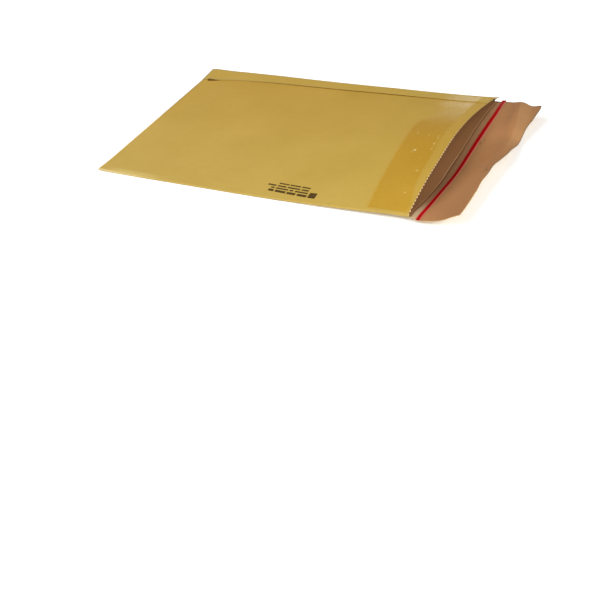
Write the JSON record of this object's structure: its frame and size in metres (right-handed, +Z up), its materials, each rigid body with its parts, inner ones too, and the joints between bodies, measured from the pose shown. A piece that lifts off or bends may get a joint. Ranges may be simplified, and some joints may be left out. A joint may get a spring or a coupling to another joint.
{
  "type": "rigid mailer",
  "caption": "Open rigid fibreboard mailer lying flat: a wide flat tube with a lap seam and a glued end, a bowed pinked mouth, a scored closing flap and a red tear tape.",
  "frame": {"origin": "under the middle of the bounding box, on the surface the mailer lies on", "axes": "+X along the length, from the closed end to the flap; +Y across, towards the lap seam; +Z up"},
  "size_m": [0.4094, 0.2682, 0.0301],
  "materials": {
    "golden_board": "golden kraft fibreboard, smooth matt outside",
    "red_tape": "red film, satin"
  },
  "bodies": {
    "root": {"mailer_body": "golden_board", "tear_tape": "red_tape"}
  },
  "joints": []
}
